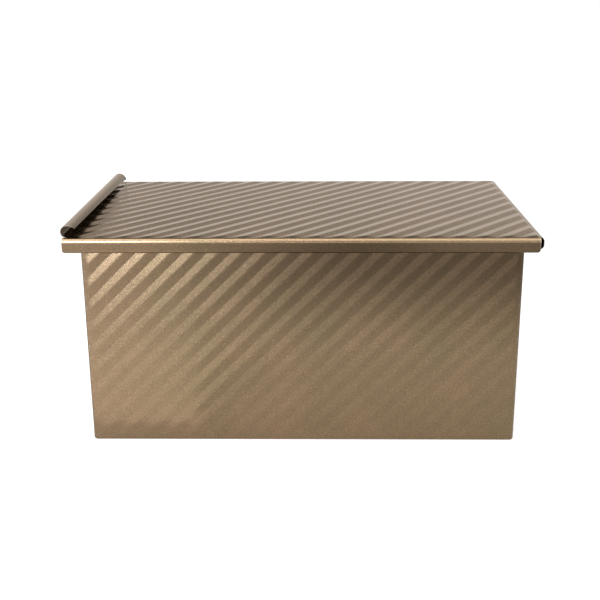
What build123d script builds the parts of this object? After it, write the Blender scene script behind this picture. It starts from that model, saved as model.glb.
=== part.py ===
"""Pullman loaf pan: a folded, ripple-embossed pan with a wired rim, and a lid that slides on the rim.

Millimetres. +X runs along the pan, +Z is up. The origin is the middle of the underside of the base.
The lid slides off towards +X.
"""

from build123d import *
from math import ceil, cos, hypot, radians, sin, sqrt, tan
import os

os.makedirs("parts", exist_ok=True)

# Stock
pan_sheet = 0.6
lid_sheet = 0.6
wire_diameter = 4.0

# Pan, over the outside of the walls and ears at the height of the rim wire
mouth_length = 233.0
mouth_width = 118.0
rim_height = 117.0
wall_draft = 0.4
corner_radius = 3.0
base_fold_radius = 1.2

# Rolled rim: the roll starts on the wall and ends under the wire
wire_clearance = 0.1
roll_start_angle = 180.0
roll_end_angle = 240.0

# Corner ears, folded double onto the short ends
ear_width = 46.0
ear_layers = 2

# Ripple embossed in both blanks
ripple_pitch = 8.8
ripple_height = 0.5
ripple_valley = 0.05
ripple_root = 0.2
ripple_angle = 45.0
side_border = 3.2
foot_border = 1.8
rim_border = 0.8
ear_border = 2.0
floor_border = 5.0
plate_border = 2.8

# Room between the lid and the rim
rest_gap = 0.3
under_gap = 1.4
side_gap = 0.6
end_gap = 0.3

# Side rails of the lid
rail_bend_radius = 2.1
rail_lip = 4.6
rail_end_radius = 2.0
grip_setback = 1.0
hem_setback = 1.6
relief_slit = 0.5

# Hem turned down at the right end of the lid
hem_width = 4.6
hem_height = 6.6
hem_return = 1.4

# Grip turned up at the left end of the lid
grip_radius = 3.3
crown_radius = 8.0
crown_angle = 28.0

# How far a cut runs past what it cuts
overrun = 5.0

# Worked out for the rim
wire_radius = wire_diameter / 2
bore_radius = wire_radius + wire_clearance
rim_radius = bore_radius + pan_sheet
rim_z = rim_height - rim_radius
ear_thickness = ear_layers * pan_sheet
cavity_length = mouth_length - 2 * ear_thickness - 2 * pan_sheet
cavity_width = mouth_width - 2 * pan_sheet
cavity_corner = corner_radius - pan_sheet
rim_half_length = cavity_length / 2 + 2 * rim_radius
rim_half_width = cavity_width / 2 + 2 * rim_radius

# Worked out for the lid, by the middle of its sheet
plate_z = rim_height + rest_gap + lid_sheet / 2
plate_top = plate_z + lid_sheet / 2
web_y = rim_half_width + side_gap + lid_sheet / 2
lip_z = rim_z - rim_radius - under_gap - lid_sheet / 2
lip_inner_y = web_y + lid_sheet / 2 - rail_lip
lid_half_length = rim_half_length + end_gap + hem_width
rail_left = grip_setback - lid_half_length
rail_right = lid_half_length - hem_setback
rail_length = rail_right - rail_left
hem_radius = (hem_width - lid_sheet) / 2
hem_x = lid_half_length - lid_sheet / 2 - hem_radius
grip_x = -(lid_half_length - lid_sheet / 2 - grip_radius)
bend_start_y = web_y - rail_bend_radius
roll_half_width = bend_start_y - relief_slit


def lean_in(height):
    """How far the walls stand inside their place at the rim wire, at this height."""
    return (rim_z - height) * tan(radians(wall_draft))


def corner_at(corner, height):
    """Corner radius of the leaning walls at this height, from the one at the rim wire."""
    return corner - lean_in(height)


def wall_plane(turn):
    """Plane on the middle of a wall's outer face, its Y up the wall. Turn 0 is the front wall."""
    half_size = mouth_width / 2 if turn % 180 == 0 else mouth_length / 2
    outward = Vector(0, -1, 0).rotate(Axis.Z, turn)
    across = Vector(1, 0, 0).rotate(Axis.Z, turn)
    foot = outward * (half_size - lean_in(0))
    brow = outward * half_size + Vector(0, 0, rim_z)
    return Plane(origin=(foot + brow) / 2, x_dir=across, z_dir=across.cross(brow - foot))


def ripple_panel(plane, outline, turn):
    """Zigzag ripple on a plane, cut off at an outline. Turn 1 rises to the right, turn -1 to the left."""
    xs, ys = zip(*outline)
    centre = Vector((max(xs) + min(xs)) / 2, (max(ys) + min(ys)) / 2)
    reach = hypot(max(xs) - min(xs), max(ys) - min(ys)) / 2
    along = Vector(1, 0, 0).rotate(Axis.Z, turn * ripple_angle)
    half_waves = 2 * ceil(reach / ripple_pitch)
    zigzag = [
        (wave * ripple_pitch / 2, ripple_valley + wave % 2 * ripple_height)
        for wave in range(-half_waves, half_waves + 1)
    ]
    section_plane = Plane(
        origin=centre - along * reach, x_dir=Vector(0, 0, 1).cross(along), z_dir=along
    )
    with BuildPart() as panel:
        with BuildSketch(section_plane) as wave_section:
            with BuildLine():
                Polyline(
                    *zigzag,
                    (zigzag[-1][0], -ripple_root),
                    (zigzag[0][0], -ripple_root),
                    close=True,
                )
            make_face()
        extrude(amount=2 * reach)
        with BuildSketch(Plane.XY.offset(-ripple_root)) as plain_border:
            with BuildLine():
                Polyline(*outline, close=True)
            make_face()
        extrude(amount=ripple_root + ripple_height + overrun, mode=Mode.INTERSECT)
    return plane.location * panel.part


# Heights on the planes of the leaning walls, measured up the wall from its middle
wall_slope = rim_z / cos(radians(wall_draft))
wall_foot = -wall_slope / 2
wall_brow = wall_slope / 2 - rim_radius
rib_foot = wall_foot + foot_border
rib_brow = wall_brow - rim_border


def wall_outline(mouth_half):
    """Outline of the ribs on a wall, inside its plain border."""
    low_half = mouth_half - lean_in(0) - side_border
    high_half = mouth_half - side_border
    return [(-low_half, rib_foot), (low_half, rib_foot), (high_half, rib_brow), (-high_half, rib_brow)]


# Ripple on the walls, on the ears and on the floor of the pan. The ears carry on the slant of the
# long walls, because they are the same sheet bent round the corner.
foot_half = mouth_width / 2 - lean_in(0)
ear_edge = mouth_width / 2 - ear_width
ear_rib_outer = foot_half - side_border
ear_rib_inner = ear_edge + ear_border
ear_rib_foot = wall_foot + side_border + ear_border * sqrt(2)
floor_x = cavity_length / 2 - lean_in(0) - floor_border
floor_y = cavity_width / 2 - lean_in(0) - floor_border
pan_ripples = []
for turn in (0, 180):
    pan_ripples.append(ripple_panel(wall_plane(turn), wall_outline(mouth_length / 2), 1))
for turn in (90, 270):
    end_wall = wall_plane(turn).offset(-ear_thickness)
    pan_ripples.append(ripple_panel(end_wall, wall_outline(mouth_width / 2), -1))
    for side in (-1, 1):
        ear_outline = [
            (side * ear_rib_outer, ear_rib_foot),
            (side * ear_rib_inner, ear_rib_foot + ear_rib_outer - ear_rib_inner),
            (side * ear_rib_inner, rib_brow),
            (side * ear_rib_outer, rib_brow),
        ]
        pan_ripples.append(ripple_panel(wall_plane(turn), ear_outline, 1))
floor_outline = [
    (-floor_x, -floor_y),
    (floor_x, -floor_y),
    (floor_x, floor_y),
    (-floor_x, floor_y),
]
pan_ripples.append(ripple_panel(Plane.XY.offset(pan_sheet), floor_outline, -1))

# Ripple on the plate of the lid, leaning the way of the front wall
plate_start = grip_x + plate_border
plate_end = hem_x - plate_border
plate_y = bend_start_y - rim_border
plate_outline = [
    (plate_start, -plate_y),
    (plate_end, -plate_y),
    (plate_end, plate_y),
    (plate_start, plate_y),
]
lid_ripple = ripple_panel(Plane.XY.offset(plate_top), plate_outline, 1)

# Path of the wire in the rolled rim
with BuildSketch(Plane.XY.offset(rim_z)) as rim_route:
    RectangleRounded(
        cavity_length + 2 * rim_radius, cavity_width + 2 * rim_radius, cavity_corner + rim_radius
    )
rim_path = rim_route.sketch.faces()[0].outer_wire()
rim_section_plane = Plane(
    origin=rim_path @ 0,
    x_dir=(rim_path % 0).cross(Vector(0, 0, 1)),
    z_dir=rim_path % 0,
)

# Pan body: base, walls, ears and rolled rim, folded from one blank
with BuildPart() as pan_body:
    # Block of the outer size, as thick at the short ends as wall and ears together
    with BuildSketch(Plane.XY) as foot_outline:
        RectangleRounded(
            mouth_length - 2 * lean_in(0),
            mouth_width - 2 * lean_in(0),
            corner_at(corner_radius, 0),
        )
    extrude(amount=rim_z, taper=-wall_draft)
    fillet(pan_body.edges().group_by(Axis.Z)[0], base_fold_radius)

    # Between the ears each short end is a single sheet
    ear_top_of_fold = wall_foot + foot_half - ear_edge
    for turn in (90, 270):
        with BuildSketch(wall_plane(turn)) as single_sheet:
            with BuildLine():
                Polyline(
                    (-foot_half, wall_foot - overrun),
                    (foot_half, wall_foot - overrun),
                    (foot_half, wall_foot),
                    (ear_edge, ear_top_of_fold),
                    (ear_edge, wall_slope),
                    (-ear_edge, wall_slope),
                    (-ear_edge, ear_top_of_fold),
                    (-foot_half, wall_foot),
                    close=True,
                )
            make_face()
        extrude(amount=-ear_thickness, mode=Mode.SUBTRACT)

    # The hollow
    with BuildSketch(Plane.XY.offset(pan_sheet)) as cavity_foot:
        RectangleRounded(
            cavity_length - 2 * lean_in(pan_sheet),
            cavity_width - 2 * lean_in(pan_sheet),
            corner_at(cavity_corner, pan_sheet),
        )
    extrude(amount=rim_z + overrun, taper=-wall_draft, mode=Mode.SUBTRACT)

    # Rim rolled outward over the wire, with its cut edge under the wire
    with BuildSketch(rim_section_plane) as roll_section:
        Circle(rim_radius)
        with BuildLine():
            seam_reach = rim_radius + overrun
            Polyline(
                (0, 0),
                (seam_reach * cos(radians(roll_start_angle)), seam_reach * sin(radians(roll_start_angle))),
                (seam_reach * cos(radians(roll_end_angle)), seam_reach * sin(radians(roll_end_angle))),
                close=True,
            )
        make_face(mode=Mode.SUBTRACT)
    sweep(path=rim_path)
    with BuildSketch(rim_section_plane) as wire_bore:
        Circle(bore_radius)
    sweep(path=rim_path, mode=Mode.SUBTRACT)

    for ripple in pan_ripples:
        add(ripple)

pan_body.part.label = "pan_body"
export_step(pan_body.part, "parts/pan_body.step")

# Wire closed inside the rolled rim
with BuildPart() as rim_wire:
    with BuildSketch(rim_section_plane):
        Circle(wire_radius)
    sweep(path=rim_path)

rim_wire.part.label = "rim_wire"
export_step(rim_wire.part, "parts/rim_wire.step")

# Lid: plate, side rails, hem and grip, folded from one blank
with BuildPart() as lid:
    # Plate with a rail turned in under the rim on both long sides
    with BuildSketch(Plane.YZ.offset(rail_left)) as rail_section:
        with BuildLine():
            FilletPolyline(
                (-lip_inner_y, lip_z),
                (-web_y, lip_z),
                (-web_y, plate_z),
                (web_y, plate_z),
                (web_y, lip_z),
                (lip_inner_y, lip_z),
                radius=rail_bend_radius,
            )
        trace(line_width=lid_sheet)
    extrude(amount=rail_length)

    # The lower corners of the rails are rounded off at both ends
    rail_height = plate_top - (lip_z - lid_sheet / 2)
    with BuildSketch(Plane.XZ) as rail_side:
        with Locations(((rail_left + rail_right) / 2, plate_top)):
            RectangleRounded(rail_length, 2 * rail_height, rail_end_radius)
    extrude(amount=web_y + overrun, both=True, mode=Mode.INTERSECT)

    # The plate ends where its hem and its grip start
    for start_x, way in ((hem_x, Align.MIN), (grip_x, Align.MAX)):
        with BuildSketch(Plane.XY.offset(plate_z - lid_sheet)):
            with Locations((start_x, 0)):
                Rectangle(lid_half_length, 2 * bend_start_y, align=(way, Align.CENTER))
        extrude(amount=2 * lid_sheet, mode=Mode.SUBTRACT)

    # Hem, turned down outside the rim and folded back inside itself
    hem_foot = plate_top - hem_height + lid_sheet / 2 + hem_radius
    with BuildSketch(Plane.XZ.offset(-roll_half_width)) as hem_section:
        with BuildLine():
            over = CenterArc((hem_x, plate_z - hem_radius), hem_radius, 90, -90)
            Line(over @ 1, (hem_x + hem_radius, hem_foot))
            under = CenterArc((hem_x, hem_foot), hem_radius, 0, -180)
            Line(under @ 1, (hem_x - hem_radius, hem_foot + hem_return))
        trace(line_width=lid_sheet)
    extrude(amount=2 * roll_half_width)

    # Grip, rolled up and over towards the middle of the lid
    with BuildSketch(Plane.XZ.offset(-roll_half_width)) as grip_section:
        with BuildLine():
            CenterArc((grip_x, plate_z + grip_radius), grip_radius, 270, -180)
            crown_centre = (grip_x, plate_z + 2 * grip_radius - crown_radius)
            CenterArc(crown_centre, crown_radius, 90, -crown_angle)
        trace(line_width=lid_sheet)
    extrude(amount=2 * roll_half_width)

    add(lid_ripple)

lid.part.label = "lid"
export_step(lid.part, "parts/lid.step")
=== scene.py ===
# %% [markdown]
# # A loaf pan with a sliding lid, in ripple-embossed steel
#
# The pan is folded from one sheet of coated steel, with a wire rolled into its rim. The lid is
# folded from a second sheet, and its side rails slide along that rim.
#
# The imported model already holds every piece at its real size. This lesson dresses it: each sheet is
# folded again as a fine mesh, with the ripple pressed through both of its faces.

from math import cos, pi, radians, sin, tan

import bmesh
import bpy
import numpy as np
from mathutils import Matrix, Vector


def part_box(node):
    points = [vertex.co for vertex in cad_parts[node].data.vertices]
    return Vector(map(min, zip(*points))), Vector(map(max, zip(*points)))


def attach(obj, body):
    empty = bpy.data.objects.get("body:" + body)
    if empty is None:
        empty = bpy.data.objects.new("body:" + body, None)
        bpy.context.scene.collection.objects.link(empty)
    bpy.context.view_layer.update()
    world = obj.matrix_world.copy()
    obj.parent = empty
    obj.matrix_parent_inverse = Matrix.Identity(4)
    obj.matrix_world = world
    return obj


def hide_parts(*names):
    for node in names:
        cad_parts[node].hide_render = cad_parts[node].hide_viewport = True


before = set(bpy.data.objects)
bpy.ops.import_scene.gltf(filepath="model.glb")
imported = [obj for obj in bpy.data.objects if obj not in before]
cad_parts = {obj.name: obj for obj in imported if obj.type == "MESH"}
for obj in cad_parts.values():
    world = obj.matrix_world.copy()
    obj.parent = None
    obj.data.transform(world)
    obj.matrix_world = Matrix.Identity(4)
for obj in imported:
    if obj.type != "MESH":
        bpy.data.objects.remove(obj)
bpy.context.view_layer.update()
print("nodes in the frame:", sorted(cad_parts))

# %% [markdown]
# ## Sizes
#
# What the frame can tell is read from it: how far the rim reaches, how high it stands, how thick its
# wire is. What it can't tell, such as the gauge of the sheet or the lean of the walls, is a value
# with a name. All lengths are in metres, so a millimetre has a name too.

# %% Read the sizes of the pan and the lid
mm = 0.001
pan_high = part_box("pan_body")[1]
wire_low, wire_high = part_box("rim_wire")
lid_low, lid_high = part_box("lid")

sheet = 0.6 * mm
rest_gap = 0.3 * mm
rim_z = (wire_low.z + wire_high.z) / 2
rim_radius = pan_high.z - rim_z
cavity_half_length = pan_high.x - 2 * rim_radius
cavity_half_width = pan_high.y - 2 * rim_radius
plate_top = pan_high.z + rest_gap + sheet
wall_draft = radians(0.4)
inner_corner = 2.4 * mm
outer_corner = inner_corner + sheet
fold_radius = 0.6 * mm
ear_thickness = 2 * sheet
ripple_height = 0.5 * mm

print("rim at", round(rim_z / mm, 2), "mm, rolled to a radius of", round(rim_radius / mm, 2), "mm")


def lean_in(height):
    """How far a wall stands inside its place at the rim, at this height."""
    return (rim_z - height) * tan(wall_draft)


# %% [markdown]
# ## The ripple
#
# The steel is embossed with slanting ribs before it is cut. A pressed rib isn't round: it is a
# zigzag of flat facets, which makes light and dark bands in a soft light. A bump texture would leave
# the sheet flat, so the ribs are real folds in the mesh.
#
# Rows and columns are spaced so that the diagonal of every cell runs along the ribs, and every crest
# and valley passes through mesh points. Then cells of one millimetre still give a straight rib.

# %% Make the zigzag and its soft ends
cells_per_rib = 12
rib_slope = tan(radians(45))
print("a rib is", cells_per_rib, "cells wide")


def zigzag(phase):
    """Height of the ripple as a share, 0 in a valley and 1 on a crest. One rib is one unit of phase."""
    return 1 - np.abs(2 * (phase % 1) - 1)


def ease(share):
    """0 to 1 with a soft start and end, for ribs that die out towards a plain border."""
    share = np.clip(share, 0, 1)
    return share * share * (3 - 2 * share)


def cell_count(length, cell):
    """How many cells of about this size fill a length."""
    return max(1, round(length / cell))


# %% [markdown]
# ## Folding a sheet
#
# Sheet metal has two faces, a fixed distance apart, and a cut edge between them. Blender's Solidify
# modifier can add that thickness, but here both faces are worked out from the same fold line, so
# that every bend has its true inner and outer radius. A patch is a table of points on each face. The
# cut edge is closed with a strip of its own material, because the coating is broken there.

# %% Weave a table of points into triangles
def weave(index, rises):
    """Triangles between the rows and columns of a table of point numbers, split along the ribs."""
    low_left, low_right = index[:-1, :-1], index[:-1, 1:]
    high_left, high_right = index[1:, :-1], index[1:, 1:]
    if rises:
        corners = (low_left, low_right, high_right), (low_left, high_right, high_left)
    else:
        corners = (low_left, low_right, high_left), (low_right, high_right, high_left)
    return np.concatenate([np.stack(three, -1).reshape(-1, 3) for three in corners])


def diagonals(index, rises):
    """The cell diagonals of the same table: the lines along which crests and valleys may run."""
    ends = (index[:-1, :-1], index[1:, 1:]) if rises else (index[:-1, 1:], index[1:, :-1])
    return np.stack(ends, -1).reshape(-1, 2)


def open_edges(triangles):
    """The edges that only one triangle has, each in the direction in which that triangle runs."""
    edges = np.concatenate([triangles[:, [0, 1]], triangles[:, [1, 2]], triangles[:, [2, 0]]])
    size = triangles.max() + 1
    met = np.isin(edges[:, 0] * size + edges[:, 1], edges[:, 1] * size + edges[:, 0])
    return edges[~met]


print("a table of 3 by 3 points weaves into", len(weave(np.arange(9).reshape(3, 3), True)), "triangles")

# %% [markdown]
# A pressed rib has a crisp crest, and the sheet between two crests is smooth. Blender shades
# smoothly across every edge that isn't marked sharp. So the cut edges are marked, and of the cell
# diagonals those at which the sheet really turns.

# %% Make a piece with crisp creases and cut edges
crease_angle = radians(3)
cut_angle = radians(40)
print("a crest is crisp where the sheet turns by", round(crease_angle / radians(1)), "degrees or more")


def read(items, name, width=1, kind=float):
    """One property of every point, edge, corner or face of a mesh, in rows of this width."""
    values = np.zeros(len(items) * width, kind)
    items.foreach_get(name, values)
    return values.reshape(-1, width) if width > 1 else values


def mark_creases(mesh, lines):
    """Makes crests and valleys crisp: those of these lines where the surface turns by a few degrees."""
    key = np.array([len(mesh.vertices), 1])
    edge_keys = np.sort(read(mesh.edges, "vertices", 2, np.int32), axis=1) @ key
    line_keys = np.sort(lines, axis=1) @ key
    sides = read(mesh.polygons, "loop_total", kind=np.int32)
    facings = np.repeat(read(mesh.polygons, "normal", 3), sides, axis=0)
    sums = np.zeros((len(mesh.edges), 3))
    np.add.at(sums, read(mesh.loops, "edge_index", kind=np.int32), facings)
    turn = 2 * np.arccos(np.clip(np.linalg.norm(sums, axis=1) / 2, 0, 1))
    crisp = np.isin(edge_keys, line_keys) & (turn > crease_angle)
    marks = mesh.attributes["sharp_edge"].data
    marks.foreach_set("value", read(marks, "value", kind=bool) | crisp)


def piece_from(name, points, faces, cut_faces=(), lines=()):
    """A piece with smooth faces and crisp cut edges. Its cut faces take the second material."""
    mesh = bpy.data.meshes.new(name)
    mesh.from_pydata(points.tolist(), [], faces.tolist() + [list(face) for face in cut_faces])
    mesh.polygons.foreach_set("use_smooth", [True] * len(mesh.polygons))
    material_numbers = np.zeros(len(mesh.polygons), np.int32)
    material_numbers[len(faces):] = 1
    mesh.update()
    piece = bpy.data.objects.new(name, mesh)
    bpy.context.scene.collection.objects.link(piece)
    mesh.materials.append(None)
    mesh.materials.append(None)
    mesh.polygons.foreach_set("material_index", material_numbers)
    mesh.set_sharp_from_angle(angle=cut_angle)
    if len(lines):
        mark_creases(mesh, lines)
    print(name, "has", len(mesh.polygons), "faces")
    return piece


# %% [markdown]
# Patches that meet have border points in the same place. Each point is put in a tiny box, and the
# points that share a box become one, so the sheet has no seam. The boxes are shifted a little,
# because round sizes would fall on their borders.

# %% Fold a sheet from its patches
weld = 0.002 * mm
box_shift = 1 / 7
print("points within", weld / mm, "mm are welded")


def fold_sheet(name, patches):
    """A closed sheet from patches of (points on one face, points on the other, ribs rise, turned over)."""
    near, far, triangles, lines, start = [], [], [], [], 0
    for near_points, far_points, rises, turned in patches:
        rows, columns = near_points.shape[:2]
        index = np.arange(start, start + rows * columns).reshape(rows, columns)
        woven = weave(index, rises)
        triangles.append(woven[:, ::-1] if turned else woven)
        lines.append(diagonals(index, rises))
        near.append(near_points.reshape(-1, 3))
        far.append(far_points.reshape(-1, 3))
        start += rows * columns
    near, far, triangles, lines = (np.concatenate(part) for part in (near, far, triangles, lines))
    places = np.round(near / weld + box_shift).astype(np.int64)
    _, first, number = np.unique(places, axis=0, return_index=True, return_inverse=True)
    number = number.reshape(-1)
    near, far, triangles, lines = near[first], far[first], number[triangles], number[lines]
    a, b, c = triangles.T
    triangles = triangles[(a != b) & (b != c) & (c != a)]
    rim = open_edges(triangles)
    cut = np.stack([rim[:, 1], rim[:, 0], rim[:, 0] + len(near), rim[:, 1] + len(near)], -1)
    faces = np.concatenate([triangles, triangles[:, ::-1] + len(near)])
    points, lines = np.concatenate([near, far]), np.concatenate([lines, lines + len(near)])
    return piece_from(name, points, faces, cut, lines)


# %% [markdown]
# ## The pan
#
# The pan is one sheet: a floor, four leaning walls, and a rim rolled outward over a wire. Each wall
# is swept from the same profile, from the floor up through the tight fold at its foot, up the wall,
# and over and under the wire. At a corner the profile turns about a fixed upright line, so the
# corner is a little tighter at the foot than at the rim.

# %% Work out the profile from the floor to the cut edge of the rim
corner_x = cavity_half_length - inner_corner
corner_y = cavity_half_width - inner_corner
cell = 1.04 * mm
columns_long = cell_count(2 * corner_x, cell)
columns_short = cell_count(2 * corner_y, cell)
wall_foot = sheet + fold_radius
cell_height = 2 * corner_x / columns_long * rib_slope
rows_wall = cell_count(rim_z - wall_foot, cell_height)
wall_rows = np.linspace(wall_foot, rim_z, rows_wall + 1)
rib_width = cells_per_rib * 2 * corner_x / columns_long
rib_rise = cells_per_rib * (wall_rows[1] - wall_rows[0])
corner_cells = 8
fold_angles = np.radians(np.linspace(-90, 0, 5))
roll_angles = np.radians(np.linspace(180, -120, 31))
wall_slice = slice(len(fold_angles), len(fold_angles) + len(wall_rows))
print("ribs every", round(rib_width / mm, 2), "mm along the wall and", round(rib_rise / mm, 2), "mm up it")


def wall_profile(depth):
    """Reach and height of the profile at a depth in the sheet, counted from the dough side."""
    fold_reach = inner_corner - lean_in(wall_foot) - fold_radius
    fold = fold_radius + depth
    roll = rim_radius - depth
    reach = np.concatenate([
        [0],
        fold_reach + fold * np.cos(fold_angles[:-1]),
        inner_corner - lean_in(wall_rows) + depth,
        inner_corner + rim_radius + roll * np.cos(roll_angles[1:]),
    ])
    height = np.concatenate([
        [sheet - depth],
        wall_foot + fold * np.sin(fold_angles[:-1]),
        wall_rows,
        rim_z + roll * np.sin(roll_angles[1:]),
    ])
    return reach, height


# %% [markdown]
# The ribs of the two long walls rise to the right, and those of the ends to the left, because the
# blank is embossed in one direction before it is folded. Ribs end just short of every fold.

# %% Place the ribs on each wall
rib_start = -0.39
foot_fade_start = 1.1 * mm
foot_fade = 1.5 * mm
rim_border = 0.6 * mm
rim_fade_end = rim_z - rim_radius - rim_border
rim_fade = 1.5 * mm
foot_share = 0.35
full_ripple_height = 85 * mm
ear_reach = 46.0 * mm
ear_clearance = 1.0 * mm
clearance_fade = 1.6 * mm
lap_cells = 4
lap = lap_cells * 2 * corner_x / columns_long
print("ribs", round(foot_share * ripple_height / mm, 2), "to", ripple_height / mm, "mm high")


def rib_fade_by_height(height):
    """The ribs get shallower towards the foot, and die out just above it and just under the rim."""
    shallow = foot_share + (1 - foot_share) * ease(height / full_ripple_height)
    return shallow * ease((height - foot_fade_start) / foot_fade) * ease((rim_fade_end - height) / rim_fade)


def long_wall_ribs(along, height):
    """Height of the ripple on a long wall, and on the sheet that carries on round its corners."""
    phase = along / rib_width - (height - wall_foot) / rib_rise + rib_start
    return ripple_height * zigzag(phase) * rib_fade_by_height(height)


def end_wall_ribs(along, height):
    """Height of the ripple on a short wall. It is pressed flat where the folded corners will lie."""
    phase = along / rib_width + (height - wall_foot) / rib_rise
    from_cut = corner_y - (ear_reach - outer_corner) - np.abs(along)
    from_fold = (corner_y + outer_corner - np.abs(along) - height) / 2 ** 0.5
    clear = ease((np.maximum(from_cut, from_fold) - ear_clearance) / clearance_fade)
    return ripple_height * zigzag(phase) * rib_fade_by_height(height) * clear


# %% [markdown]
# Now the sheet can be folded. A wall is its profile pushed outward from a line on the floor, and a
# corner is the same profile turned about one point, so neighbours meet exactly. The floor closes
# the box. It has ribs too, and its valleys stand on the table.

# %% Fold the pan
floor_border = 3.0 * mm
quarter_turns = [((1, 0), (0, -1)), ((0, 1), (1, 0)), ((-1, 0), (0, 1)), ((0, -1), (-1, 0))]


def upright_patch(anchors, outward, ripple, rises):
    """A wall or a corner: the profile of each face, pushed outward from anchor points on the floor."""
    faces = []
    for reach, height in (wall_profile(0), wall_profile(sheet)):
        out = reach[:, None] + ripple
        x = anchors[None, :, 0] + outward[None, :, 0] * out
        y = anchors[None, :, 1] + outward[None, :, 1] * out
        faces.append(np.stack([x, y, np.broadcast_to(height[:, None], x.shape)], -1))
    return *faces, rises, True


def pan_patches():
    """Patches of the four walls, the four corners and the floor."""
    patches = []
    swing = np.linspace(0, pi / 2, corner_cells + 1)[:, None]
    for turn, (across, outward) in enumerate(quarter_turns):
        across, outward = np.array(across, float), np.array(outward, float)
        is_long = turn % 2 == 0
        half, stand_off = (corner_x, corner_y) if is_long else (corner_y, corner_x)
        along = np.linspace(-half, half, (columns_long if is_long else columns_short) + 1)
        anchors = along[:, None] * across + outward * stand_off
        ripple = np.zeros((len(wall_profile(0)[0]), len(along)))
        ribs = (long_wall_ribs if is_long else end_wall_ribs)(along[None, :], wall_rows[:, None])
        ripple[wall_slice] = ribs * ease((half - np.abs(along)) / lap)
        patches.append(upright_patch(anchors, np.repeat(outward[None, :], len(along), 0), ripple, is_long))

        corner = np.repeat((across * half + outward * stand_off)[None, :], len(swing), 0)
        patches.append(upright_patch(corner, np.cos(swing) * outward + np.sin(swing) * across, 0, True))

    floor_x = np.linspace(-corner_x, corner_x, columns_long + 1)[None, :]
    floor_y = np.linspace(-corner_y, corner_y, columns_short + 1)[:, None]
    phase = floor_x / rib_width + floor_y / (rib_width * rib_slope)
    border_x = ease((corner_x - floor_border - np.abs(floor_x)) / foot_fade)
    border_y = ease((corner_y - floor_border - np.abs(floor_y)) / foot_fade)
    ribs = ripple_height * zigzag(phase) * border_x * border_y
    table = np.stack([floor_x + 0 * ribs, floor_y + 0 * ribs, sheet + ribs], -1)
    patches.append((table, table - (0, 0, sheet), False, False))
    return patches


pan_shell = fold_sheet("pan_shell", pan_patches())
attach(pan_shell, "pan")
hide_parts("pan_body")

# %% [markdown]
# ## The folded corners
#
# Where two walls meet, the spare steel of the blank is folded double and laid flat on the short
# end, like the ear of a wrapped parcel. It makes the pan tight without a weld. The ear is the long
# wall carrying on round the corner, up to a slanting fold and an upright cut edge.
#
# The ear is drawn flat first, on a table of points with the same cells as the wall. It is cut to its
# outline, its edge is rounded over, and only then is it wrapped round the corner. Cutting a flat
# blank is simple, and the ribs run on from the wall without a step.

# %% Draw and cut the flat ear
outer_corner_x = corner_x + ear_thickness
ear_top_gap = 1.8 * mm
ear_top = rim_z - ear_top_gap
corner_run = outer_corner * pi / 2
cut_column = corner_run + ear_reach - outer_corner
base_radius = fold_radius + sheet
base_run = base_radius * pi / 2
under_run = 1.2 * mm
fold_line_foot = outer_corner - lean_in(0) - base_radius
print("the flat ear is", round((cut_column + ear_thickness + lap) / mm, 1), "mm wide")


def ear_columns():
    """Distances along the sheet from the start of the corner, on the wall's own columns where they lap."""
    on_wall = np.linspace(-ear_thickness - lap, -ear_thickness, lap_cells + 1)
    on_corner = np.linspace(0, corner_run, corner_cells + 1)
    on_end = np.linspace(corner_run, cut_column, cell_count(cut_column - corner_run, cell) + 1)
    return np.concatenate([on_wall, on_corner, on_end[1:]])


def ear_rows():
    """Distances up the sheet from the top of the fold at its foot."""
    climb = (wall_rows - wall_foot) / cos(wall_draft)
    kept = climb[wall_rows < ear_top]
    return np.concatenate([[-base_run - under_run], np.linspace(-base_run, 0, 4)[:-1], kept])


def cut_blank(hand):
    """Points and triangles of the flat ear, cut off along its slanting fold."""
    columns, rows = ear_columns(), ear_rows()
    index = np.arange(len(rows) * len(columns)).reshape(len(rows), len(columns))
    blank = bmesh.new()
    points = [blank.verts.new((x, y, 0)) for y in rows for x in columns]
    for corners in weave(index, hand > 0):
        blank.faces.new([points[number] for number in corners])
    everything = blank.verts[:] + blank.edges[:] + blank.faces[:]
    bmesh.ops.bisect_plane(
        blank, geom=everything, plane_co=(corner_run, fold_line_foot, 0),
        plane_no=(1, -1, 0), clear_outer=True, dist=weld,
    )
    bmesh.ops.triangulate(blank, faces=blank.faces[:])
    blank.verts.index_update()
    flat = np.array([point.co[:2] for point in blank.verts])
    triangles = np.array([[corner.index for corner in face.verts] for face in blank.faces])
    blank.free()
    return flat, triangles


# %% [markdown]
# The flat ear carries on the ripple of the long wall, and is plain along each of its own edges.
# Wrapping turns a distance along the sheet and one up it into a place on the pan: round the fold at
# the foot, round the upright corner, and lifted off the outer face.

# %% Emboss the flat ear and wrap it round the corner
thin_lap = 0.3 * mm
corner_border = 0.6 * mm
corner_fade = 1.9 * mm
ear_border = 1.6 * mm
ear_fade = 1.5 * mm


def ear_depth(run):
    """Thickness of the ear: thin where it laps the wall, two sheets on the end."""
    share = ease((run + ear_thickness) / (ear_thickness + corner_run / 2))
    return thin_lap + (ear_thickness - thin_lap) * share


def ear_ripple(flat, hand):
    """Ripple on the flat ear, carried on from the long wall and plain along every edge."""
    run, climb = flat.T
    height = wall_foot + climb * cos(wall_draft)
    ribs = long_wall_ribs(hand * (outer_corner_x + run), height)
    on_wall = ease((corner_border - run) / corner_fade)
    from_corner = ease((run - corner_run - ear_border) / ear_fade)
    from_cut = ease((cut_column - ear_border - run) / ear_fade)
    above_fold = (climb - fold_line_foot - run + corner_run) / 2 ** 0.5
    from_fold = ease((above_fold - ear_border) / ear_fade)
    return ribs * np.maximum(on_wall, from_corner * from_cut * from_fold)


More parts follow.
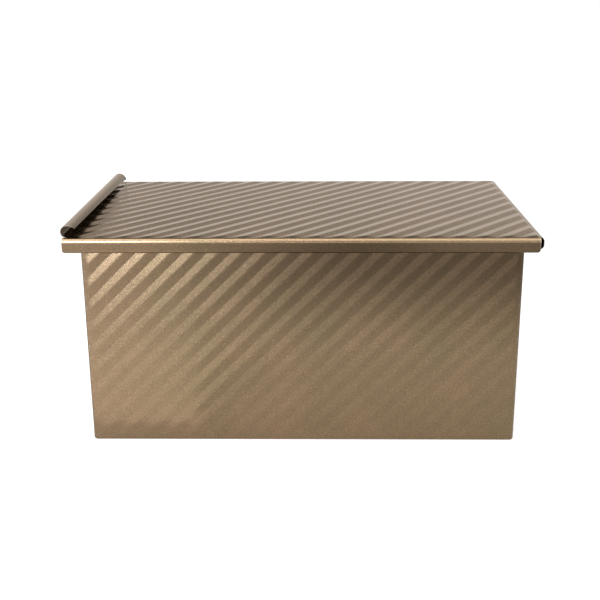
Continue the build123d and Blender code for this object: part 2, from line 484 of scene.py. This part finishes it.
def wrap(flat, lift, hand):
    """Wraps flat points round the foot and the corner of the pan, lifted off its outer face."""
    run, climb = flat.T
    bend = np.clip(-climb / base_radius, 0, pi / 2)
    under = np.clip(-climb - base_run, 0, None)
    height = np.where(climb > 0, base_radius + climb * cos(wall_draft),
                      base_radius - (base_radius + lift) * np.sin(bend))
    reach = outer_corner - lean_in(np.maximum(height, base_radius))
    reach += np.where(climb > 0, lift, lift * np.cos(bend) - base_radius * (1 - np.cos(bend)) - under)
    swing = np.clip(run / outer_corner, 0, pi / 2)
    along_wall = outer_corner_x + np.minimum(run, 0)
    along_end = -corner_y + np.maximum(run - corner_run, 0)
    x = along_wall + reach * np.sin(swing)
    y = along_end - reach * np.cos(swing)
    return np.stack([hand * x, y, height], -1)


ear_start = wrap(np.zeros((1, 2)), 0, 1)[0]
print("an ear turns its corner", round(float(ear_start[0]) / mm, 1), "mm from the middle of the pan")

# %% [markdown]
# Doubled steel is round where it is folded, and its cut edge is dressed round too, so that it
# doesn't scratch. Both outlines are therefore repeated in layers through the thickness, and the
# layers between the two faces stand out in a half circle.

# %% Make the four ears
lap_lift = 0.005 * mm
edge_steps = 6
squarely = 0.9


def make_ear(name, hand, turned):
    """One ear. Hand 1 goes round the right end of its wall, -1 round the left, seen from outside."""
    flat, triangles = cut_blank(hand)
    count = len(flat)
    rim = open_edges(triangles)
    way = flat[rim[:, 1]] - flat[rim[:, 0]]
    outward = np.stack([way[:, 1], -way[:, 0]], -1)
    outward /= np.linalg.norm(outward, axis=1)[:, None]
    middle = (flat[rim[:, 0]] + flat[rim[:, 1]]) / 2
    on_fold = outward @ np.array([1, -1]) > squarely * 2 ** 0.5
    on_cut = (outward[:, 0] > squarely) & (middle[:, 0] > corner_run)

    # Points of the fold and of the cut edge are pushed outward, square to their edges.
    push = np.zeros((count, 2))
    for edge_end in (0, 1):
        np.add.at(push, rim[:, edge_end], outward * (on_fold | on_cut)[:, None])
    length = np.linalg.norm(push, axis=1)[:, None]
    push /= np.where(length > 0, length, 1)

    # Layers from the outer face to the inner one. Those between hold only the points of the outline.
    depth = ear_depth(flat[:, 0])
    edge_points = np.unique(rim)
    place = np.full(count, -1)
    place[edge_points] = np.arange(len(edge_points))
    layers = [wrap(flat, ear_ripple(flat, hand) + lap_lift, hand)]
    for step in range(1, edge_steps):
        turn = pi * step / edge_steps
        half = depth[edge_points] / 2
        moved = flat[edge_points] + push[edge_points] * (half * sin(turn))[:, None]
        layers.append(wrap(moved, -half * (1 - cos(turn)), hand))
    layers.append(wrap(flat, -depth, hand))
    points = np.concatenate(layers)

    # The rings of the outline are joined by strips of triangles, which close the ear.
    back = count + (edge_steps - 1) * len(edge_points)
    between = [place[rim] + start for start in range(count, back, len(edge_points))]
    rings = [rim, *between, back + rim]
    strips = []
    for upper, lower in zip(rings, rings[1:]):
        strips.append(np.stack([upper[:, 1], upper[:, 0], lower[:, 0]], -1))
        strips.append(np.stack([upper[:, 1], lower[:, 0], lower[:, 1]], -1))
    faces = np.concatenate([triangles, triangles[:, ::-1] + back, *strips])
    if hand < 0:
        faces = faces[:, ::-1]
    if turned:
        points[:, :2] *= -1
    piece = piece_from(name, points, faces)
    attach(piece, "pan")
    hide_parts("pan_body")
    return piece


ears = [make_ear("corner_ear_" + corner, hand, turned) for corner, hand, turned in [
    ("front_right", 1, False), ("front_left", -1, False), ("back_left", 1, True), ("back_right", -1, True),
]]

# %% [markdown]
# ## The lid
#
# The lid is a second sheet. Its long sides are folded down and in, and hook round the wired rim. Its
# right end is folded down as a hem, which stops it against the pan. Its left end is rolled up and
# over, as a grip for the fingers.
#
# The plate and both rails share one table of rows and columns, so the top bend is smooth all along.
# The grip and the hem carry on from the plate between two short slits, which keep the corners of the
# blank from tearing.

# %% Work out the plate between the bends
rail_face = lid_high.y
rail_foot = lid_low.z
bend_radius = 2.1 * mm
bend_start = rail_face - bend_radius
slit = 0.5 * mm
roll_half_width = bend_start - slit
grip_radius = 3.0 * mm
grip_x = lid_low.x + sheet + grip_radius
hem_radius = 2.3 * mm
hem_x = lid_high.x - hem_radius
grip_fade, hem_fade, side_fade = 1.6 * mm, 0.9 * mm, 1.0 * mm
side_border = 0.2 * mm

plate_columns = np.linspace(grip_x, hem_x, cell_count(hem_x - grip_x, cell) + 1)
plate_cell = plate_columns[1] - plate_columns[0]
roll_rows = np.linspace(
    -roll_half_width, roll_half_width,
    cell_count(2 * roll_half_width, plate_cell * rib_slope) + 1,
)
plate_rows = np.concatenate([[-bend_start], roll_rows, [bend_start]])
lid_rib_width = cells_per_rib * plate_cell
lid_rib_depth = cells_per_rib * (roll_rows[1] - roll_rows[0])
print("the plate is", round((hem_x - grip_x) / mm, 1), "by", round(2 * bend_start / mm, 1), "mm")


def plate_patch(depth):
    """The plate, with its ripple. It reaches the bends of the rails and stops short of the rolls."""
    x, y = plate_columns[None, :], plate_rows[:, None]
    ends = ease((x - grip_x - grip_fade / 2) / grip_fade) * ease((hem_x - x) / hem_fade)
    sides = ease((bend_start - side_border - np.abs(y)) / side_fade)
    ribs = ripple_height * zigzag(x / lid_rib_width - y / lid_rib_depth) * ends * sides
    return np.stack([x + 0 * ribs, y + 0 * ribs, plate_top - depth + ribs], -1)


# %% [markdown]
# A rail is one profile carried along the lid: a bend down, a face that leans in a little, a bend
# under and a lip. Its lower corners are rounded off by drawing the last columns in, so that the mesh
# keeps its rows.

# %% Bend the rails
lip_reach = 4.6 * mm
lip_edge = rail_face - lip_reach
rail_lean = radians(4)
rail_gap_left, rail_gap_right = 1.0 * mm, 2.3 * mm
rail_left = lid_low.x + rail_gap_left
rail_right = lid_high.x - rail_gap_right
rail_end_radius = 2.0 * mm
pull_length = 12.0 * mm
print("each rail is", round((rail_right - rail_left) / mm, 1), "mm long")


def rail_profile(depth):
    """Distance out and height of a rail, from the plate round to the edge of its lip."""
    top = np.radians(np.linspace(90, 0, 9))
    low = np.radians(np.linspace(0, -90, 9))
    radius = bend_radius - depth
    face = np.linspace(plate_top - bend_radius, rail_foot + bend_radius, 6)[1:-1]
    lip = np.linspace(bend_start, lip_edge, 4)[1:]
    out = np.concatenate([
        bend_start + radius * np.cos(top), np.full(len(face), rail_face - depth),
        bend_start + radius * np.cos(low), lip,
    ])
    height = np.concatenate([
        plate_top - bend_radius + radius * np.sin(top), face,
        rail_foot + bend_radius + radius * np.sin(low), np.full(len(lip), rail_foot + depth),
    ])
    out[len(top):] -= (plate_top - bend_radius - height[len(top):]) * tan(rail_lean)
    return out, height


def rail_patch(depth, side):
    """One rail, its lower corners rounded off by drawing its last columns in."""
    out, height = rail_profile(depth)
    columns = np.concatenate([
        np.linspace(rail_left, grip_x, 4)[:-1], plate_columns, np.linspace(hem_x, rail_right, 3)[1:]
    ])
    _, face_height = rail_profile(0)
    drop = np.clip(rail_end_radius - (face_height - rail_foot), 0, rail_end_radius)
    drawn_in = rail_end_radius - np.sqrt(rail_end_radius ** 2 - drop ** 2)
    near_right = ease((columns - rail_right + pull_length) / pull_length)
    near_left = ease((rail_left + pull_length - columns) / pull_length)
    x = columns[None, :] + drawn_in[:, None] * (near_left - near_right)[None, :]
    y = np.broadcast_to(side * out[:, None], x.shape)
    table = np.stack([x, y, np.broadcast_to(height[:, None], x.shape)], -1)
    return table[::-1] if side < 0 else table


# %% [markdown]
# Both ends of the lid are rolls that run across it. The grip is an open hook for the fingers, a
# little tighter at its back end. The hem is closed: it goes over, down, and back up inside itself.

# %% Roll the grip and the hem
grip_radius_back = 2.55 * mm
crown_radius, crown_radius_back = 6.8 * mm, 4.02 * mm
crown_reach = 4.0 * mm
hem_drop = 6.6 * mm
hem_return = 1.4 * mm
print("the grip stands", round(2 * grip_radius / mm, 1), "mm over the plate")


def grip_patch(depth):
    """The grip, from its free edge over the crown and round to the plate. It is tighter at the back."""
    back = (roll_rows[:, None] + roll_half_width) / (2 * roll_half_width)
    radius = grip_radius + (grip_radius_back - grip_radius) * back
    crown_bend = crown_radius + (crown_radius_back - crown_radius) * back
    crown = pi / 2 - np.linspace(1, 0, 13)[None, :-1] * np.arcsin(crown_reach / crown_bend)
    bend = np.radians(np.linspace(90, 270, 19))[None, :]
    centre_z = plate_top + radius
    crown_z = centre_z + radius - crown_bend
    crown_arm, arm = crown_bend + depth, radius + depth
    x = np.concatenate([grip_x + crown_arm * np.cos(crown), grip_x + arm * np.cos(bend)], 1)
    z = np.concatenate([crown_z + crown_arm * np.sin(crown), centre_z + arm * np.sin(bend)], 1)
    return np.stack([x, np.broadcast_to(roll_rows[:, None], x.shape), z], -1)


def hem_patch(depth):
    """The hem, from the plate over, down, and folded back inside itself."""
    over = np.radians(np.linspace(90, 0, 9))
    under = np.radians(np.linspace(0, -180, 15))
    low_z = plate_top - hem_drop + hem_radius
    radius = hem_radius - depth
    x = np.concatenate([
        hem_x + radius * np.cos(over), hem_x + radius * np.cos(under),
        np.full(2, hem_x - radius),
    ])
    z = np.concatenate([
        plate_top - hem_radius + radius * np.sin(over), low_z + radius * np.sin(under),
        low_z + hem_return * np.array([0.5, 1]),
    ])
    return np.stack(np.broadcast_arrays(x[None, :], roll_rows[:, None], z[None, :]), -1)


# %% [markdown]
# The plate, the two rails and the two rolls share their border points, so the same folding closes
# the lid. The slits stay open, because no patch reaches across them.

# %% Fold the lid
makers = [
    plate_patch, lambda depth: rail_patch(depth, 1), lambda depth: rail_patch(depth, -1),
    grip_patch, hem_patch,
]
lid_shell = fold_sheet("lid_shell", [(maker(0), maker(sheet), True, False) for maker in makers])
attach(lid_shell, "lid")
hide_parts("lid")

# %% [markdown]
# ## Small helpers for materials
#
# A material is a graph of nodes. Small helpers keep the recipes short: one adds a node with its
# values and links, and one starts a node group with named inputs and outputs. A group is built once
# and then placed in every finish that needs it, each time with its own numbers.

# %% Add a node, a colour mix or a group in one line
def add_node(tree, kind, values=(), **settings):
    """A new node. A value is a number or a colour to set, or an output of another node to link."""
    node = tree.nodes.new("ShaderNode" + kind)
    for name, value in settings.items():
        setattr(node, name, value)
    for name, value in dict(values).items():
        if isinstance(value, bpy.types.NodeSocket):
            tree.links.new(value, node.inputs[name])
        else:
            node.inputs[name].default_value = value
    return node


def arithmetic(tree, operation, first, second):
    """The output of a Math node. Each side is a number or an output of another node."""
    return add_node(tree, "Math", {0: first, 1: second}, operation=operation).outputs[0]


def blend_colours(tree, share, first, second, way="MIX"):
    """The colour output of a Mix node. Its colour sockets share their names, so they go by number."""
    values = {"Factor": share, 6: first, 7: second}
    return add_node(tree, "Mix", values, data_type="RGBA", blend_type=way).outputs[2]


def noise(tree, place, scale, detail, roughness):
    """The value of a Noise node."""
    values = {"Vector": place, "Scale": scale, "Detail": detail, "Roughness": roughness}
    return add_node(tree, "TexNoise", values).outputs["Fac"]


def spread(tree, share, low, high):
    """A value that is low where the share is 0 and high where it is 1."""
    return add_node(tree, "MapRange", {"Value": share, "To Min": low, "To Max": high}).outputs[0]


def soft_step(tree, value, low, high):
    """A mask that is 0 below low, 1 above high and soft between."""
    values = {"Value": value, "From Min": low, "From Max": high}
    return add_node(tree, "MapRange", values, interpolation_type="SMOOTHSTEP").outputs[0]


def add_group(name, inputs, output):
    """An empty group with named inputs and one output, the sockets of its inputs and its last node."""
    group = bpy.data.node_groups.new(name, "ShaderNodeTree")
    for label, value in inputs.items():
        kind = "NodeSocketVector" if isinstance(value, tuple) else "NodeSocketFloat"
        group.interface.new_socket(name=label, in_out="INPUT", socket_type=kind).default_value = value
    group.interface.new_socket(name=output, in_out="OUTPUT", socket_type="NodeSocketFloat")
    print(name, "takes", list(inputs), "and gives", output)
    return group, group.nodes.new("NodeGroupInput").outputs, group.nodes.new("NodeGroupOutput")


def place_group(tree, group, values):
    """The output of one use of a group in a material."""
    return add_node(tree, "Group", values, node_tree=group).outputs[0]


def start_material(name):
    """A new material, its node tree and its shader."""
    material = bpy.data.materials.new(name)
    material.use_nodes = True
    return material, material.node_tree, material.node_tree.nodes["Principled BSDF"]


# %% [markdown]
# ## Flakes in the coating
#
# The champagne colour is a baked coating with fine metal flakes in it. Each flake lies at its own
# slight angle, so the surface glitters softly instead of shining like a mirror. Voronoi cells give
# every flake its own brightness, and a little noise groups them into the faint mottle of a sprayed
# coat. The same value tilts the surface through a Bump node.

# %% Build the flake group
flakes, flakes_in, flakes_out = add_group(
    "metal_flakes", {"Place": (0, 0, 0), "Flake Size": 0.4 * mm, "Mottle Share": 0.3}, "Flake"
)
flake_scale = arithmetic(flakes, "DIVIDE", 1.0, flakes_in["Flake Size"])
cells = add_node(flakes, "TexVoronoi", {"Vector": flakes_in["Place"], "Scale": flake_scale})
cell_value = add_node(flakes, "SeparateColor", {"Color": cells.outputs["Color"]}).outputs["Red"]
mottle_scale = arithmetic(flakes, "MULTIPLY", flake_scale, 0.5)
mottle = noise(flakes, flakes_in["Place"], mottle_scale, detail=3.0, roughness=0.5)
flake_mix = add_node(flakes, "Mix", {"Factor": flakes_in["Mottle Share"], "A": cell_value, "B": mottle})
flakes.links.new(flake_mix.outputs["Result"], flakes_out.inputs["Flake"])

# %% [markdown]
# ## The tint of the bake
#
# An oven doesn't bake a coat evenly, and the real pan drifts between a greenish and a rosy gold. This
# group gives a soft mask of broad patches, with finer ones inside.

# %% Build the bake tint group
bake, bake_in, bake_out = add_group("bake_tint", {"Place": (0, 0, 0), "Patch Size": 40 * mm}, "Tint")
patch_scale = arithmetic(bake, "DIVIDE", 1.0, bake_in["Patch Size"])
patches = noise(bake, bake_in["Place"], patch_scale, detail=4.0, roughness=0.6)
bake.links.new(soft_step(bake, patches, low=0.32, high=0.68), bake_out.inputs["Tint"])

# %% [markdown]
# ## Rubbed edges and painted highlights
#
# Hands, racks and other pans rub the coating thin on corners and bends. The same pale steel also
# paints highlights along edges and corners. The group is given how much a spot is rubbed and highlit,
# and breaks that up with noise, because real wear is never an even line.

# %% Build the wear and highlight group
edge_wear_highlight, edge_wear_highlight_in, edge_wear_highlight_out = add_group(
    "rubbed_and_highlit_edge", {"Place": (0, 0, 0), "Wear And Highlight": 0.0, "Speck Size": 1.5 * mm}, "Worn And Highlit"
)
speck_scale = arithmetic(edge_wear_highlight, "DIVIDE", 1.0, edge_wear_highlight_in["Speck Size"])
specks = noise(edge_wear_highlight, edge_wear_highlight_in["Place"], speck_scale, detail=4.0, roughness=0.7)
wear_highlight_and_specks = arithmetic(edge_wear_highlight, "ADD", edge_wear_highlight_in["Wear And Highlight"], specks)
edge_wear_highlight.links.new(soft_step(edge_wear_highlight, wear_highlight_and_specks, low=1.0, high=1.35), edge_wear_highlight_out.inputs["Worn And Highlit"])

# %% [markdown]
# ## The coated steel
#
# The coating is a metal in the shader's sense: its colour lives in the reflection, so it is bright
# where the room is bright. Two golds are mixed by the bake tint, each flake is a little lighter or
# darker than the next, and worn spots show pale steel, which also paints highlights on edges. Painted
# shade darkens the colour to a dark brown and takes off the clear coat. Roughness is what makes it satin.

# %% Mix the coating
rosy_gold = (0.258, 0.172, 0.100, 1)
green_gold = (0.224, 0.159, 0.088, 1)
# The next colour is pale steel, for worn spots and for painted highlights on edges.
pale_steel_and_highlight = (0.46, 0.38, 0.29, 1)
# The next colour is painted shade: the dark brown the coating fades to in shade.
painted_shade_colour = (0.022, 0.014, 0.008, 1)
satin_roughness = 0.245


def grain(tree, shader, flake, roughness, swing, strength, depth):
    """Makes a shader metal, and lets its flakes vary its roughness and tilt its surface."""
    shader.inputs["Metallic"].default_value = 1.0
    tree.links.new(spread(tree, flake, roughness - swing, roughness + swing), shader.inputs["Roughness"])
    tilt = add_node(tree, "Bump", {"Height": flake, "Strength": strength, "Distance": depth})
    tree.links.new(tilt.outputs["Normal"], shader.inputs["Normal"])


def coated_steel(name):
    """The champagne coating, used on the pan, its ears and the lid."""
    material, tree, shader = start_material(name)
    place = add_node(tree, "TexCoord").outputs["Object"]
    flake = place_group(tree, flakes, {"Place": place, "Flake Size": 0.38 * mm})
    tint = place_group(tree, bake, {"Place": place})
    # Pale steel where the coating is worn, and as painted highlights on edges and corners.
    wear_and_highlight = add_node(tree, "Attribute", attribute_name="wear_and_highlight").outputs["Fac"]
    worn_and_highlit = place_group(tree, edge_wear_highlight, {"Place": place, "Wear And Highlight": wear_and_highlight})
    painted_shade_mask = add_node(tree, "Attribute", attribute_name="painted_shade").outputs["Fac"]

    gold = blend_colours(tree, tint, rosy_gold, green_gold)
    flaked = blend_colours(tree, 1.0, gold, spread(tree, flake, 0.75, 1.25), "MULTIPLY")
    # Painted shade: the colour fades to dark brown where the mask is high.
    colour = blend_colours(tree, painted_shade_mask, blend_colours(tree, worn_and_highlit, flaked, pale_steel_and_highlight), painted_shade_colour)
    tree.links.new(colour, shader.inputs["Base Color"])
    grain(tree, shader, flake, satin_roughness, swing=0.04, strength=0.25, depth=0.03 * mm)
    shader.inputs["Specular Tint"].default_value = (1.0, 0.94, 0.88, 1)
    # The clear coat is taken off where shade is painted.
    tree.links.new(spread(tree, painted_shade_mask, 0.25, 0.0), shader.inputs["Coat Weight"])
    shader.inputs["Coat Roughness"].default_value = 0.17
    return material


coating = coated_steel("satin_gold_coating")
print(coating.name, "has", len(coating.node_tree.nodes), "nodes")

# %% [markdown]
# ## Bare steel
#
# Where the sheet is cut, and on the wire, the steel is bare. Shears and drawing dies leave it finely
# scored. The flake group stands in for that, with small cells and a large share of mottle.

# %% Mix the bare steels
def bare_steel(name, colour, roughness, score_size):
    """Uncoated steel, finely scored."""
    material, tree, shader = start_material(name)
    place = add_node(tree, "TexCoord").outputs["Object"]
    flake = place_group(tree, flakes, {"Place": place, "Flake Size": score_size, "Mottle Share": 0.8})
    painted_shade_mask = add_node(tree, "Attribute", attribute_name="painted_shade").outputs["Fac"]
    scored = blend_colours(tree, 1.0, (*colour, 1), spread(tree, flake, 0.75, 1.15), "MULTIPLY")
    # Painted shade darkens the cut edges inside the rolls as well.
    tree.links.new(blend_colours(tree, painted_shade_mask, scored, painted_shade_colour), shader.inputs["Base Color"])
    grain(tree, shader, flake, roughness, swing=0.08, strength=0.3, depth=0.02 * mm)
    return material


cut_edge = bare_steel("cut_edge_steel", (0.20, 0.165, 0.13), 0.45, 0.3 * mm)
wire_steel = bare_steel("drawn_wire_steel", (0.55, 0.53, 0.50), 0.28, 0.5 * mm)
print(cut_edge.name, "and", wire_steel.name, "are mixed")

# %% [markdown]
# ## Where the coating is rubbed and highlit
#
# A shader doesn't know where a corner is, but the mesh does. A rule on the places of the points
# gives each point a value from 0 to 1, which is stored on the mesh as an attribute with a name. The
# coating is rubbed at the corners, along the fold at the foot and at the ends of the lid's bends. At the
# upright corners of the pan, at the ends of the rails (most at the right end) and at the corners of the
# rolls, the pale steel is also a painted highlight.

# %% Rub the corners and the folds, and paint highlights on them
# Pale steel on edges: real wear, and painted highlights at the corners, the rail ends and the rolls.
wear_highlight_width = 1.2 * mm
corner_share = 0.7
corner_wear_highlight, foot_rub = 0.55, 0.5
rail_wear_highlight, right_end_share, roll_wear_highlight = 0.75, 1.3, 0.7


def write_mask(piece, name, rule):
    """Stores a mask on a piece, from a rule on its points and on whether they are of its first face."""
    points = read(piece.data.vertices, "co", 3)
    first_face = np.arange(len(points)) < len(points) / 2
    mask = np.clip(rule(*points.T, first_face), 0, 1)
    piece.data.attributes.new(name, "FLOAT", "POINT").data.foreach_set("value", mask.astype(np.float32))
    print(piece.name, "has a mean", name, "of", round(float(mask.mean()), 3))


def near(value, target):
    """1 at the target, falling to 0 within the width of a rubbed and highlit strip."""
    return np.clip(1 - np.abs(value - target) / wear_highlight_width, 0, 1)


def pan_wear_and_highlight(x, y, z, *_):
    """Wear and a painted highlight on the corners of the pan, and wear along the fold at its foot."""
    corner = np.minimum(np.abs(x) - corner_x, np.abs(y) - corner_y) / (outer_corner * corner_share)
    return np.maximum(np.clip(corner, 0, 1) * corner_wear_highlight, near(z, 0) * foot_rub)


def lid_wear_and_highlight(x, y, z, *_):
    """Wear and a painted highlight at the ends of the rails and the corners of the rolls."""
    on_rail = np.abs(y) > roll_half_width
    ends = np.maximum(near(x, rail_left), right_end_share * near(x, rail_right)) * on_rail
    corners = near(np.abs(y), roll_half_width) * (np.abs(x) > -grip_x)
    return np.maximum(ends * rail_wear_highlight, corners * roll_wear_highlight)


# Store the wear and the painted highlights on the lid, the pan and the ears.
write_mask(lid_shell, "wear_and_highlight", lid_wear_and_highlight)
for piece in (pan_shell, *ears):
    write_mask(piece, "wear_and_highlight", pan_wear_and_highlight)

# %% [markdown]
# ## Painted shade
#
# Shade is painted into the colour as a second mask, and the coating fades to a dark brown with it.
# Under the rim and on the faces of the rails it is a painted shadow of the rim and the rails, darker
# towards the rim and more so from the middle to the right. Inside the rolls, on the outer face of the
# grip near its free edge and on the hem's bend it is painted dark, nearly black inside the rolls.

# %% Paint shade under the rim and in the rolls
# How dark the painted shade is, and where it reaches.
painted_shade_strength = 0.70
painted_shade_reach, painted_shade_fade = 69 * mm, 65 * mm
shade_left_share, shade_left_x, shade_rise = 0.25, -100 * mm, 130 * mm
right_lift_share, right_lift_x, right_lift_fade = 0.3, 30 * mm, 60 * mm
rail_shade_start_share, rail_shade_fade = 0.6, 1.2 * mm
grip_depth, grip_fade_in = 0.55 * mm, 0.8 * mm
hem_left, hem_fade_in, hem_depth, hem_end_width = hem_x - hem_radius, 0.5 * mm, 0.3 * mm, 1.5 * mm
edge_share, edge_start, edge_fade = 0.6, 1.2 * mm, 2.6 * mm
bend_share, shade_on_bend = 0.5, 0.2 * mm


def unevenly(x):
    """The painted shade is weak at the left end of the pan and full from its middle on."""
    return shade_left_share + (1 - shade_left_share) * ease((x - shade_left_x) / shade_rise)


def pan_painted_shade(x, y, z, outside):
    """Painted shade on the outside, darkest under the rim."""
    film = painted_shade_strength * unevenly(x) * ease((z - rim_z + painted_shade_reach) / painted_shade_fade)
    return film * (z < rim_z) * outside


def lid_painted_shade(x, y, z, upper_face):
    """Painted shade: black inside the rolls, brown on the faces of the rails, and lighter on the outer
    bends.
    """
    across = np.abs(y)
    in_grip = upper_face * ease((z - plate_top - grip_depth) / grip_fade_in)
    in_hem = ~upper_face * ease((x - hem_left) / hem_fade_in)
    hem_end = (x > hem_left) * (z < plate_top - hem_depth)
    hem_end = hem_end * ease((across - roll_half_width + hem_end_width) / mm)
    in_hem = np.maximum(in_hem, hem_end) * (across < bend_start)
    # The painted shade on the rails is lighter towards the right end.
    right_lift = 1 - right_lift_share * ease((x - right_lift_x) / right_lift_fade)
    down_rail = ease((plate_top - bend_radius * rail_shade_start_share - z) / rail_shade_fade)
    on_rail = painted_shade_strength * right_lift * unevenly(x) * down_rail * (across > bend_start)
    on_grip = ~upper_face * (z > plate_top + mm) * (x < 0)
    grip_edge = edge_share * on_grip * ease((x - grip_x - edge_start) / edge_fade)
    hem_bend = bend_share * upper_face * ease((x - hem_x - shade_on_bend) / mm)
    return np.max([in_grip, in_hem, on_rail, grip_edge, hem_bend], axis=0)


# Store the painted shade on the pan, the lid and the ears.
write_mask(pan_shell, "painted_shade", lambda x, y, z, inside: pan_painted_shade(x, y, z, ~inside))
write_mask(lid_shell, "painted_shade", lid_painted_shade)
for ear in ears:
    write_mask(ear, "painted_shade", pan_painted_shade)

# %% [markdown]
# ## Dressing the pieces
#
# Each sheet has two materials: the coating on its faces and bare steel on its cut edges, which were
# given the second number when the sheet was folded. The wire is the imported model's own piece, and
# only its material changes.

# %% Dress the sheets and the wire
for piece in (pan_shell, lid_shell, *ears):
    piece.data.materials[0] = coating
    piece.data.materials[1] = cut_edge
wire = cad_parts["rim_wire"]
wire.data.materials.clear()
wire.data.materials.append(wire_steel)
print("dressed", len(ears) + 2, "sheets and", wire.name)

# %% [markdown]
# ## The camera
#
# The picture is taken from a little above, yet its uprights stay nearly upright. A lens that is
# shifted down does that, where one that only looks down makes them lean. Place, turn and focal
# length were fitted to the lid, the rails and the foot in the picture. Blender asks for millimetres
# on a sensor, so the focal length in pixels is converted.

# %% Place the camera
picture_width, focal_pixels, sensor_width = 600, 869.5, 36
lens_shift = 0.2
eye = (6.7 * mm, -492.1 * mm, 249.7 * mm)
look_down, roll, turn_left = radians(13.271), radians(0.349), radians(0.886)

camera_data = bpy.data.cameras.new("photo_camera")
camera_data.sensor_width = sensor_width
camera_data.sensor_fit = "HORIZONTAL"
camera_data.lens = focal_pixels / picture_width * sensor_width
camera_data.shift_y = -lens_shift
camera = bpy.data.objects.new("photo_camera", camera_data)
camera.location = eye
camera.rotation_euler = (pi / 2 - look_down, roll, turn_left)
bpy.context.scene.collection.objects.link(camera)
bpy.context.scene.camera = camera
print("the lens is", round(camera_data.lens, 1), "mm long")

# %% [markdown]
# ## The table
#
# A table of white paint, lit until it looks white, would throw all that light onto the pan. So this
# one is grey paint that glows, but only for rays that come from the camera or from a mirroring
# surface, which the Light Path node tells apart. Near the pan it glows less, and there the paint
# shows the pan's soft shadow.

# %% Lay the table
table_reach = 6.0
table_grey = 0.43
near_distance, far_distance = 0.35, 1.2
near_glow, far_glow = 0.75, 1.0
mirrored_share = 0.42


def seen_directly(tree, reflected_share=1.0):
    """1 for rays of the camera, of gloss and of glass, and 0 for the light that falls on things."""
    path = add_node(tree, "LightPath").outputs
    glossy_or_glass = arithmetic(tree, "MAXIMUM", path["Is Glossy Ray"], path["Is Transmission Ray"])
    reflected = arithmetic(tree, "MULTIPLY", glossy_or_glass, reflected_share)
    return arithmetic(tree, "MAXIMUM", path["Is Camera Ray"], reflected)


def table_white():
    """Grey paint that glows white where it is looked at."""
    material, tree, shader = start_material("table_white")
    shader.inputs["Base Color"].default_value = (table_grey, table_grey, table_grey, 1)
    shader.inputs["Roughness"].default_value = 0.9
    shader.inputs["Emission Color"].default_value = (1, 1, 1, 1)
    place = add_node(tree, "NewGeometry").outputs["Position"]
    from_pan = add_node(tree, "VectorMath", {0: place}, operation="LENGTH").outputs["Value"]
    glow = add_node(tree, "MapRange", {
        "Value": from_pan, "From Min": near_distance, "From Max": far_distance,
        "To Min": near_glow, "To Max": far_glow,
    }).outputs[0]
    strength = arithmetic(tree, "MULTIPLY", seen_directly(tree, mirrored_share), glow)
    tree.links.new(strength, shader.inputs["Emission Strength"])
    return material


table_mesh = bpy.data.meshes.new("table_top")
table_corners = [(table_reach * x, table_reach * y, 0) for x, y in [(-1, -1), (1, -1), (1, 1), (-1, 1)]]
table_mesh.from_pydata(table_corners, [], [(0, 1, 2, 3)])
table_mesh.materials.append(table_white())
table = bpy.data.objects.new("table_top", table_mesh)
bpy.context.scene.collection.objects.link(table)
print("the table is", 2 * table_reach, "m wide")

# %% [markdown]
# ## The lamps
#
# Satin metal looks like what it mirrors, so each lamp has the size and place of a reflection. The key
# at the left makes the light bands of the ripple, the card lightens the lower left, the brow and the
# overhead box draw the line along the rail and the sheen of the plate, and the reflector lifts the
# front wall. Lamps for the metal don't light the table, and the table's own lamp isn't mirrored.

# %% Hang the lamps
cool_white = (0.9, 1.0, 1.14)
# Each line has a name, a place, the point it faces, width and height, brightness, and what it lights.
lamps = [
    ("key_softbox", (-0.46, -0.74, 0.34), (-0.1, -0.06, 0.08), (0.46, 0.68), 12.6, "metal"),
    ("table_card", (-0.28, -0.145, 0.004), (-0.28, -0.145, 1), (0.44, 0.15), 0.36, "metal"),
    ("brow_softbox", (0, -0.64, 0.78), (0, -0.06, 0.12), (1.8, 0.42), 2.4, "metal"),
    ("overhead_softbox", (0, -0.13, 1.05), (0, -0.08, 0), (2.2, 0.7), 3.2, "everything"),
    ("floor_fill", (-0.45, -0.4, 0.6), (-0.2, -0.25, 0), (0.5, 0.4), 5.2, "table"),
    ("front_reflector", (0.2, -1.1, 0.11), (0.05, 0, 0.1), (1.3, 0.12), 4.5, "metal"),
]
for name, place, aim, size, radiance, lights in lamps:
    lamp = bpy.data.lights.new(name, "AREA")
    lamp.shape = "RECTANGLE"
    lamp.size, lamp.size_y = size
    lamp.energy = radiance * pi * size[0] * size[1]
    box = bpy.data.objects.new(name, lamp)
    box.location = place
    box.rotation_euler = (Vector(aim) - Vector(place)).to_track_quat("-Z", "Y").to_euler()
    box.visible_camera = False
    box.visible_diffuse = lights != "metal"
    box.visible_glossy = lights != "table"
    bpy.context.scene.collection.objects.link(box)
    print(name, "lights", lights, "with", round(lamp.energy, 2), "W")
bpy.data.lights["key_softbox"].color = cool_white

# %% [markdown]
# ## The backdrop
#
# The world is the backdrop. Looked at or mirrored it is white near the horizon and darkens upward,
# which gives the bends of the lid their dark side. For all other light it is a dim, even room.

# %% Paint the backdrop
white_up_to, dark_from = radians(13), radians(55)
low_strength, high_strength, room_strength = 1.0, 0.12, 0.2

world = bpy.data.worlds.new("studio")
bpy.context.scene.world = world
world.use_nodes = True
sky = world.node_tree
direction = add_node(sky, "TexCoord").outputs["Generated"]
upward = add_node(sky, "SeparateXYZ", {"Vector": direction}).outputs["Z"]
darkening = add_node(sky, "MapRange", {
    "Value": upward, "From Min": sin(white_up_to), "From Max": sin(dark_from),
    "To Min": low_strength, "To Max": high_strength,
}).outputs[0]
strength = add_node(sky, "Mix", {"Factor": seen_directly(sky), "A": room_strength, "B": darkening})
sky.links.new(strength.outputs["Result"], sky.nodes["Background"].inputs["Strength"])
sky.nodes["Background"].inputs["Color"].default_value = (1, 1, 1, 1)

bpy.context.scene.view_settings.view_transform = "Standard"
print("the backdrop has", len(sky.nodes), "nodes")
